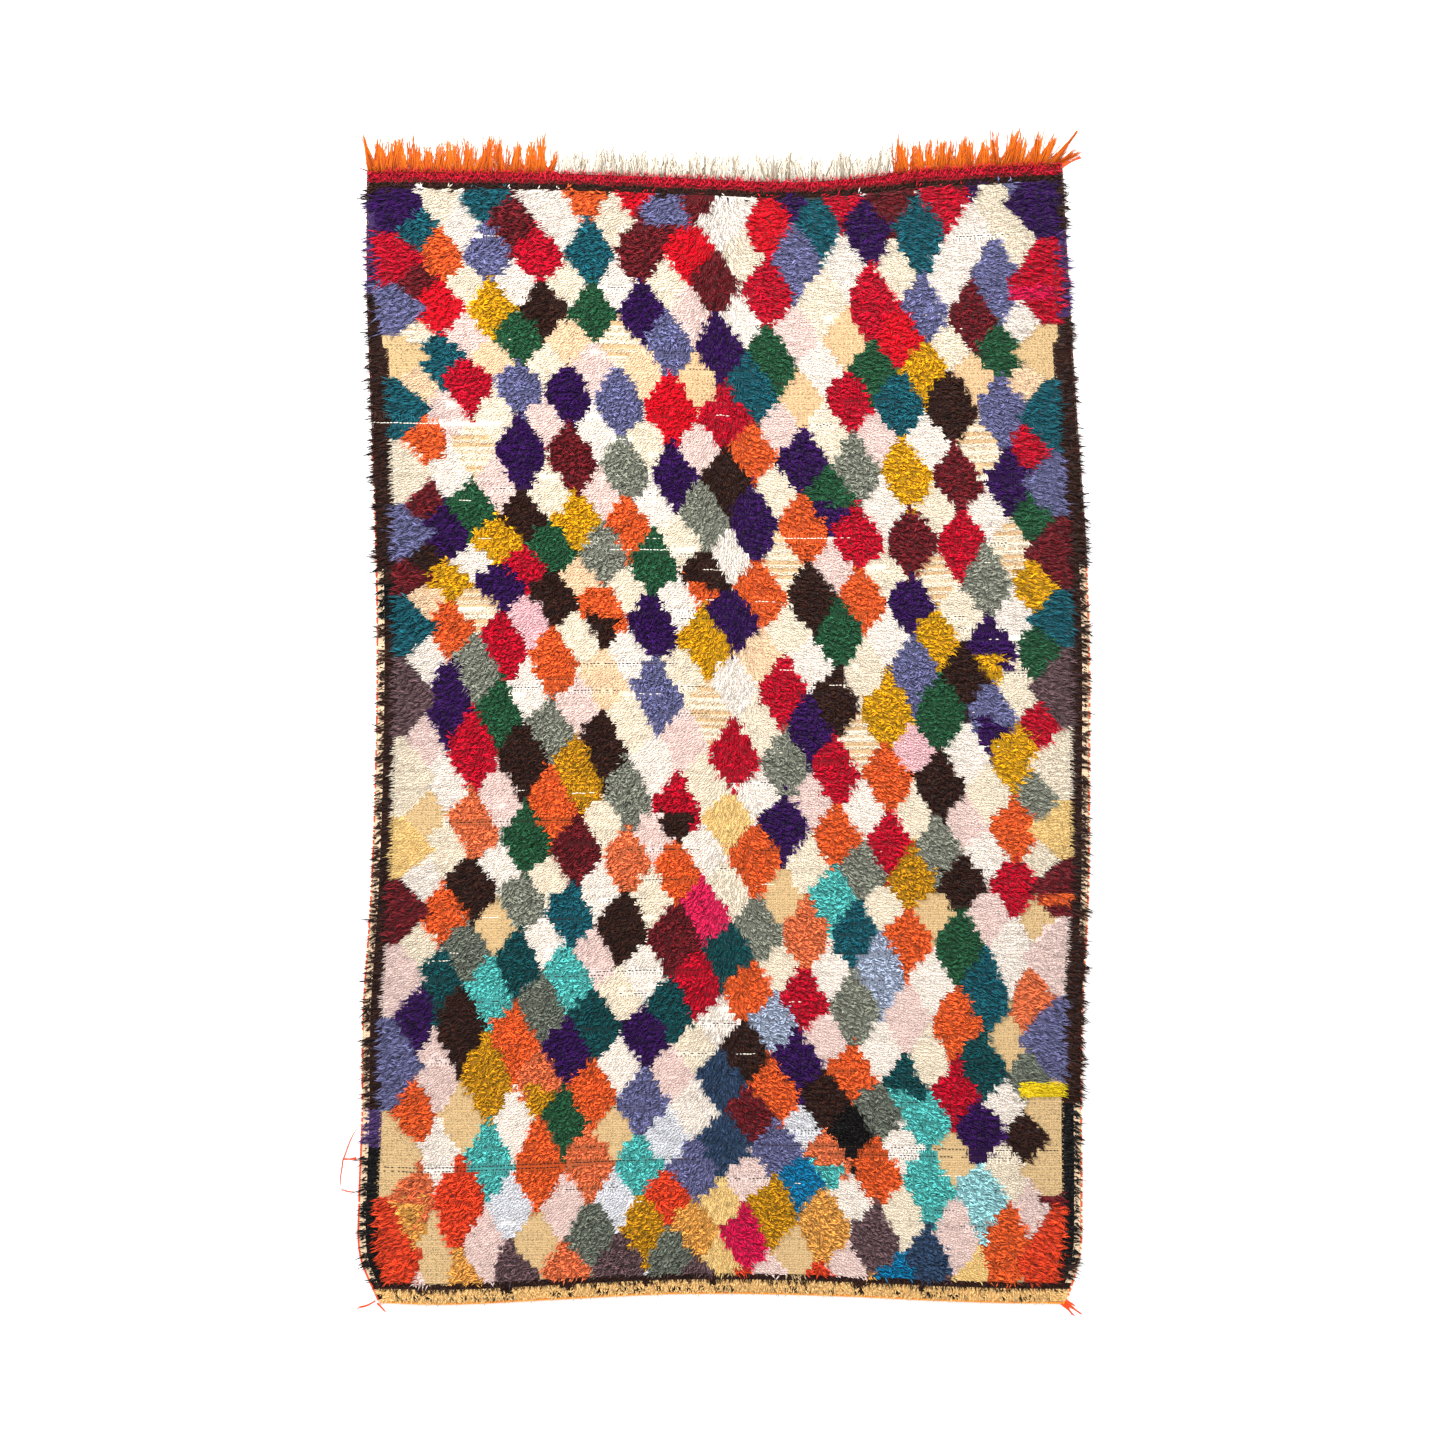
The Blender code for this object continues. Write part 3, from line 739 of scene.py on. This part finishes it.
radii = LOCK_RADIUS * thickness * pile_chance.uniform(0.8, 1.2, count)
roots = np.stack([x, y, np.full(count, LOCK_ROOT)], axis=1)
dark_names = ("brown", "black", "indigo", "maroon", "purple")
dark_wool = np.isin(knot_yarn, [YARN_NUMBER[name] for name in dark_names])
tuft_depth = np.where(dark_wool, 0.30, np.where(bright, 0.19, 0.02))
lock_depth = np.where(dark_wool, 0.26, np.where(bright, 0.14, 0.03))
shades = 1 + tuft_depth * tuft_shade[tuft] + lock_depth * pile_chance.normal(0, 1, count)
# in pale yarn some rows of knots are painted darker, each a lozenge long, and show as faint lines: painted
# shade between the rows
knot_row = (along * CLOTH_LENGTH / KNOT_ROW_PITCH).astype(int)
lozenge = (across * CLOTH_WIDTH / LOZENGE_HALF_WIDTH).astype(int)
painted_shade_rows = pile_chance.random((400, 40))[knot_row, lozenge] < 0.22
shades = np.where(~bright & painted_shade_rows, shades * 0.87, shades)
# yarn that is cut low shows the knots of the ground as a grid of small pits, painted dark: painted shade in
# the pits
low_cut = np.isin(knot_yarn, [YARN_NUMBER[name] for name in ("khaki", "ecru")])
shaded_pits = np.cos(2 * math.pi * x / PIT_PITCH) + np.cos(2 * math.pi * y / PIT_PITCH) > 0.5
shades = np.where(low_cut & shaded_pits, shades * 0.66, shades)
shades = np.where(in_shadow, 0.42, 1.0) * shades.clip(0.35, 1.6)
flecks = pile_chance.random(count)
# here and there a lock is painted dark: painted shade that stands for the dark between two locks
gaps = pile_chance.random(count)
shades = np.where(gaps < np.where(bright, 0.07, 0.02), shades * np.where(bright, 0.30, 0.62), shades)

pile_lock = spun_lock("pile_lock", 3, (), (), 0.0)
for number, yarn in enumerate(YARNS):
    mine = knot_yarn == number
    points = leaning_copies(pile_lock, roots[mine], over[mine], rise[mine], radii[mine])
    root_shade, tip_shade, second_depth = BRIGHT_SHADES if IS_BRIGHT[number] else PALE_SHADES
    finish = yarn_finish("yarn_" + yarn.name, yarn.colour, yarn.colour, second_depth)
    spun_piece(
        "pile_" + yarn.name, pile_lock, points, finish, "rug_body", shades[mine], flecks[mine], root_shade,
        tip_shade,
    )
bpy.data.objects.remove(pile_lock, do_unlink=True)


# The wefts that show: where the pile parts along a row, the weft that was beaten in there lies bare on the
# ground. It bows up between the warps that it dips under, so that it shows as dashes.
WEFT_RADIUS = 0.0009
WEFT_BOW = 0.0020
# the weft lies bare nearly all along a long parting, and is broken more in a short one
LONG_PARTING = 0.14
# two shades of each weft, and the length of its dashes
weft_colours = {"cream": ("#FFFAF0", "#F4E8D0", 0.0070), "dark": ("#3A221C", "#1E1412", 0.0075)}
weft_dash = spun_lock("weft_dash", 3, (0.5,), (1.6,), 1.0)
for shade_name, (main, second, dash) in weft_colours.items():
    runs = [parted for parted in PARTINGS if parted.yarn == shade_name]
    weft_chance = np.random.default_rng(len(shade_name))
    pieces = [
        (start, parted_row(parted)) for parted in runs for start in np.arange(parted.start, parted.stop, dash)
        if weft_chance.random() > (0.10 if parted.stop - parted.start > LONG_PARTING else 0.30)
    ]
    starts, rows = np.array(pieces).T
    shape = corner_places(weft_dash)
    t = shape[None, :, 2]
    n = len(pieces)
    along_row = starts[:, None] + dash * weft_chance.uniform(0.8, 1.3, n)[:, None] * t
    middle_x, middle_y = cloth_places(along_row / CLOTH_WIDTH + 0.5, rows[:, None] / KNOT_ROWS + 0 * t)
    along_y = middle_y + WEFT_RADIUS * shape[None, :, 0] + weft_chance.normal(0, 0.0004, n)[:, None]
    bow = WEFT_BOW * (1 - (2 * t - 1) ** 2)
    height = GROUND_THICKNESS - WEFT_RADIUS + bow + WEFT_RADIUS * shape[None, :, 1]
    points = np.stack([middle_x, along_y, height + np.zeros((n, 1))], axis=2)
    finish = yarn_finish("yarn_weft_" + shade_name, main, second)
    spun_piece(
        "weft_" + shade_name, weft_dash, points, finish, "rug_body", np.ones(n), weft_chance.random(n),
        1.0, 1.0,
    )
bpy.data.objects.remove(weft_dash, do_unlink=True)


# The fringe: the warp ends of the fringed end, looped with orange wool near the two corners and left white
# between them. The strands come out from under the crimson band and lie on the floor in locks that curl.
def directions(heading):
    """The unit vectors ahead, to the left and up at each heading."""
    flat = np.zeros_like(heading)
    ahead = np.stack([np.cos(heading), np.sin(heading), flat], axis=1)
    left = np.stack([-np.sin(heading), np.cos(heading), flat], axis=1)
    return ahead, left, np.array([0.0, 0.0, 1.0])


def laid_copies(original, roots, heading, lengths, radii, curl, turns, phase, rise):
    """The corners of a strand copied to each root: it lies along its heading and curls to and fro."""
    shape = corner_places(original)
    t = shape[None, :, 2]
    out, side, up = directions(heading)
    sway = curl[:, None] * np.sin(2 * math.pi * turns[:, None] * t + phase[:, None]) * t**0.8
    lift = rise[:, None] * (1 - t) + radii[:, None] * 0.4
    centre = roots[:, None, :] + (lengths[:, None] * t)[..., None] * out[:, None, :]
    centre = centre + sway[..., None] * side[:, None, :] + lift[..., None] * up
    wide = radii[:, None, None] * shape[None, :, 1:2] * side[:, None, :]
    deep = radii[:, None, None] * shape[None, :, 0:1] * up
    points = centre + wide + deep
    points[..., 2] = points[..., 2].clip(0.0002)
    return points


# the second of each pair of shades is a painted shade: darker strands that stand for the shade between the
# strands
ORANGE_SHADES = ("#DE6C18", "#A03C08")
WHITE_SHADES = ("#EEE4D4", "#7A6A52")
# a fringe's ends as shares of the width, its strands, the width of its locks, the length of its strands, how
# far and how often they curl, and its two shades
Fringe = namedtuple("Fringe", "node start stop strands lock shortest longest curl turns shades")
FRINGES = (
    Fringe("fringe_orange_left", 0.000, 0.270, 800, 0.026, 0.050, 0.092, 0.0022, 1.2, ORANGE_SHADES),
    Fringe("fringe_white", 0.270, 0.755, 1560, 0.012, 0.044, 0.080, 0.0050, 1.8, WHITE_SHADES),
    Fringe("fringe_orange_right", 0.755, 1.000, 740, 0.026, 0.050, 0.092, 0.0022, 1.2, ORANGE_SHADES),
)
FRINGE_RADIUS = 0.0013
# how much shorter the strands at a lock's two sides are, and the share of them that lie short underneath
LOCK_TAPER = 0.30
UNDER_SHARE = 0.30
# single long locks at the corners: node, root, heading in degrees, length, strands
CORNER_LOCKS = (
    ("fringe_orange_left", -0.7330, 1.146, 106, 0.094, 22),
    ("fringe_orange_left", -0.7100, 1.146, 98, 0.066, 16),
    ("fringe_orange_right", 0.6850, 1.160, 51, 0.104, 22),
    ("fringe_orange_right", 0.6650, 1.160, 66, 0.078, 18),
)
strand = spun_lock("fringe_strand", 3, (0.25, 0.5, 0.75), (1.0, 0.9, 0.7), 0.2)
for fringe in FRINGES:
    chance = np.random.default_rng(len(fringe.node))
    n = fringe.strands
    share = fringe.start + 0.004 + (fringe.stop - fringe.start - 0.008) * (np.arange(n) + 0.5) / n
    edge_x, edge_y = cloth_places(share, np.ones(n))
    lock_chance = np.random.default_rng(3)
    lock_ends = np.cumsum(lock_chance.uniform(0.35, 1.5, 400)) * fringe.lock
    lock_number = np.searchsorted(lock_ends, share * CLOTH_WIDTH + chance.normal(0, 0.002, n))
    lock_middle = lock_ends[lock_number] + lock_chance.uniform(-0.8, 0.1, 400)[lock_number] * fringe.lock
    to_middle = (lock_middle - share * CLOTH_WIDTH) * (chance.random(n) < 0.80)
    lock_length = lock_chance.uniform(0.72, 1.06, 400)[lock_number]
    tapered = 1 - LOCK_TAPER * np.abs(to_middle) / fringe.lock
    length = chance.uniform(fringe.shortest, fringe.longest, n) * lock_length * tapered
    under = chance.random(n) < UNDER_SHARE
    length = np.where(under, fringe.shortest * chance.uniform(0.45, 0.8, n), length)
    # near the right corner the strands fan out
    fan = 0.75 * np.clip((share - 0.88) / 0.12, 0, 1) ** 2 if fringe.stop == 1.0 else 0.0 * share
    heading = math.pi / 2 - fan - 0.85 * to_middle / length + chance.normal(0, 0.09, n)
    heading += lock_chance.normal(0, 0.12, 400)[lock_number]
    heading += np.where(under, chance.normal(0, 0.5, n), 0)
    roots = np.stack([edge_x, edge_y - 0.004, np.zeros(n)], axis=1)
    for node, root_x, root_y, degrees, reach, strands in CORNER_LOCKS:
        if node == fringe.node:
            spread = np.linspace(-1, 1, strands)
            more = np.stack([root_x + 0.011 * spread, np.full(strands, root_y), np.zeros(strands)], axis=1)
            roots = np.concatenate([roots, more])
            heading = np.r_[heading, math.radians(degrees) + 0.13 * spread + chance.normal(0, 0.02, strands)]
            length = np.r_[length, reach * chance.uniform(0.72, 1.0, strands)]
    n = len(roots)
    points = laid_copies(
        strand, roots, heading, length, FRINGE_RADIUS * chance.uniform(0.8, 1.3, n),
        fringe.curl * chance.uniform(0.4, 1.3, n), fringe.turns * chance.uniform(0.6, 1.4, n),
        chance.uniform(0, 6.28, n), chance.uniform(0.001, 0.0065, n),
    )
    finish = yarn_finish("yarn_" + fringe.node, *fringe.shades)
    shades = chance.normal(1, 0.12, n).clip(0.6, 1.2)
    flecks = chance.random(n) ** 1.4
    # the strands are painted darker towards the root: painted shade
    spun_piece(fringe.node + "_strands", strand, points, finish, fringe.node, shades, flecks, 0.50, 1.06)
bpy.data.objects.remove(strand, do_unlink=True)


# The bindings: each side and the bound end are overcast with wool yarn, wrap by wrap round the outermost warp
# or weft. An orange thread is wound over the pale yarn, and further up the sides the yarn is dark.
Binding = namedtuple("Binding", "node width pitch main second")
BINDINGS = (
    Binding("binding_left", 0.005, 0.0042, "#F7DDBC", "#F0522A"),
    Binding("binding_right", 0.005, 0.0042, "#F7DDBC", "#F0622E"),
    Binding("binding_bound_end", 0.006, 0.0044, "#F0B45C", "#F69A30"),
)


def edge_run(node, off, pitch):
    """Places along one edge of the cloth, this far outside it and this far apart, and the run's heading."""
    fine = np.linspace(0, 1, 4000)
    if node == "binding_bound_end":
        run_x, run_y = cloth_places(fine, np.zeros_like(fine))
        run_y = run_y - off
    else:
        side = 0.0 if node == "binding_left" else 1.0
        run_x, run_y = cloth_places(np.full_like(fine, side), fine)
        run_x = run_x + (off if side else -off)
    travelled = np.concatenate([[0], np.cumsum(np.hypot(np.diff(run_x), np.diff(run_y)))])
    stops = np.arange(pitch / 2, travelled[-1], pitch)
    wrap_x, wrap_y = np.interp(stops, travelled, run_x), np.interp(stops, travelled, run_y)
    ahead = np.arctan2(np.gradient(wrap_y), np.gradient(wrap_x))
    return wrap_x, wrap_y, ahead


def overcast_wrap():
    """One turn of binding yarn: a slim ring that stands across the edge, of unit radius."""
    bpy.ops.object.select_all(action="DESELECT")
    bpy.ops.mesh.primitive_torus_add(
        major_radius=0.7, minor_radius=0.3, major_segments=6, minor_segments=3, rotation=(0, math.pi / 2, 0)
    )
    wrap = bpy.context.object
    bpy.ops.object.transform_apply(location=False, rotation=True, scale=False)
    return wrap


wrap = overcast_wrap()
for binding in BINDINGS:
    chance = np.random.default_rng(40 + len(binding.node))
    radius = binding.width / 2
    wrap_x, wrap_y, ahead = edge_run(binding.node, radius + 0.0004, binding.pitch)
    n = len(wrap_x)
    shape = corner_places(wrap)
    slant = 0.35 + chance.normal(0, 0.08, n)
    run, side, up = directions(ahead)
    along_run = shape[None, :, 0] * binding.pitch * 1.9 + radius * shape[None, :, 1] * np.tan(slant)[:, None]
    centre = np.stack([wrap_x, wrap_y, np.full(n, radius)], axis=1)
    points = centre[:, None, :] + along_run[..., None] * run[:, None, :]
    points = points + radius * shape[None, :, 1:2] * side[:, None, :] + radius * shape[None, :, 2:3] * up
    finish = yarn_finish("yarn_" + binding.node, binding.main, binding.second)
    # the sides' yarn is dark from this far up, and the bound end's nowhere
    dark_from = {"binding_left": 0.58, "binding_right": 0.32, "binding_bound_end": 9.0}
    shades = np.where(wrap_y > dark_from[binding.node], 0.16, 1.0)
    # the orange thread covers the lower end of the left side and most of the bound end, and half of the rest
    covered = {
        "binding_left": np.where(wrap_y < -0.85, 0.97, 0.5), "binding_right": 0.5, "binding_bound_end": 0.8
    }
    wound = (chance.random(n) < covered[binding.node]).astype(float)
    spun_piece(binding.node + "_wraps", wrap, points, finish, binding.node, shades, wound, 1.0, 1.0)
bpy.data.objects.remove(wrap, do_unlink=True)


# The loose ends: tails of binding yarn that have worked free beside the left edge, at the two corners of the
# bound end and at the right end of the fringe. They lie on the floor in slack curves.
TAIL_RADIUS = 0.0014
# a tail's root, heading in degrees, length, strands, and how far they spread at the root and curl
Tail = namedtuple("Tail", "node x y heading length strands spread curl")
TAILS = (
    Tail("tails_left_side", -0.7700, -0.9220, 186, 0.029, 8, 0.0022, 0.0008),
    Tail("tails_left_side", -0.7980, -0.9260, 66, 0.074, 1, 0.0, 0.0045),
    Tail("tails_left_side", -0.7980, -0.9260, 267, 0.062, 1, 0.0, -0.0050),
    Tail("tails_left_side", -0.8010, -0.9875, -9, 0.028, 1, 0.0, -0.0035),
    Tail("tails_left_corner", -0.7300, -1.2210, 208, 0.054, 2, 0.0010, 0.0030),
    Tail("tails_left_corner", -0.7260, -1.2260, -48, 0.028, 5, 0.0020, 0.0010),
    Tail("tails_right_corner", 0.7130, -1.2235, -33, 0.050, 14, 0.0055, 0.0016),
    Tail("tails_right_corner", 0.7110, -1.2250, -47, 0.042, 10, 0.0045, 0.0016),
    Tail("tails_right_corner", 0.7130, -1.2215, -20, 0.030, 9, 0.0045, 0.0016),
    Tail("fringe_orange_right", 0.6980, 1.1540, 27, 0.062, 12, 0.0060, 0.0016),
)
loose = spun_lock("loose_tail", 4, (0.2, 0.4, 0.6, 0.8), (1.0, 1.0, 0.9, 0.7), 0.3)
for node in sorted({tail.node for tail in TAILS}):
    chance = np.random.default_rng(60 + len(node))
    mine = [tail for tail in TAILS if tail.node == node for _ in range(tail.strands)]
    n = len(mine)
    aside = chance.uniform(-1, 1, n)
    heading = np.radians([tail.heading for tail in mine])
    spread = np.array([tail.spread for tail in mine]) * aside
    root_x = np.array([tail.x for tail in mine]) - np.sin(heading) * spread
    root_y = np.array([tail.y for tail in mine]) + np.cos(heading) * spread
    curl = np.array([tail.curl for tail in mine])
    tight = np.array([1.0 if tail.strands == 1 else chance.uniform(0.7, 1.0) for tail in mine])
    # a single yarn lies in one slack bow
    bowed = np.array([tail.strands == 1 for tail in mine])
    turns = np.where(bowed, 0.5, chance.uniform(0.4, 0.7, n))
    phase = np.where(bowed, 0.0, chance.uniform(0, 0.6, n))
    points = laid_copies(
        loose, np.stack([root_x, root_y, np.zeros(n)], axis=1), heading - 0.15 * aside * ~bowed,
        np.array([tail.length for tail in mine]) * tight, np.full(n, TAIL_RADIUS), curl, turns, phase,
        chance.uniform(0.001, 0.003, n),
    )
    finish = yarn_finish("yarn_" + node, "#F0562E", "#E2401C")
    name = "red_wisp" if node == "fringe_orange_right" else node + "_strands"
    # the strands are painted a little darker at the root and lighter at the tip: painted shade and light
    spun_piece(name, loose, points, finish, node, np.ones(n), chance.random(n), 0.9, 1.05)
bpy.data.objects.remove(loose, do_unlink=True)
